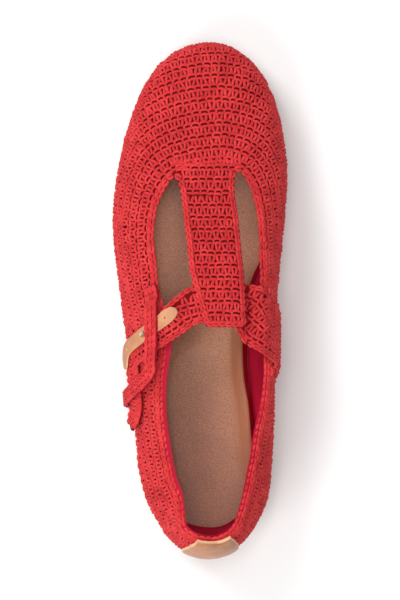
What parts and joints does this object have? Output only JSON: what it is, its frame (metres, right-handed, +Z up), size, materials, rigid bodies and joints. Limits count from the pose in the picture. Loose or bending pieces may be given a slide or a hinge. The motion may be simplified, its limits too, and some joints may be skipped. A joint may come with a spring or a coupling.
{
  "type": "t-strap flat shoe",
  "caption": "Left crocheted T-strap flat with a cross strap, keeper band, leather footbed and heel tab, on a flat rubber sole.",
  "frame": {"origin": "centre of the overall bounding box, on the floor under the sole", "axes": "+Y towards the toe, +X towards the inner side of the foot, +Z up"},
  "size_m": [0.0872, 0.2574, 0.0672],
  "materials": {
    "sole_rubber": "matt",
    "footbed_leather": "satin, fine grain",
    "crochet": "crocheted yarn with a smooth crimson lining",
    "crochet_strap": "crocheted yarn",
    "tan_leather": "satin",
    "prong_steel": "polished"
  },
  "bodies": {
    "root": {"outsole": "sole_rubber", "insole": "footbed_leather", "upper": "crochet", "instep_strap": "crochet_strap", "keeper_band": "crochet_strap", "strap_leather": "tan_leather", "buckle_prong": "prong_steel", "heel_tab": "tan_leather"}
  },
  "joints": []
}
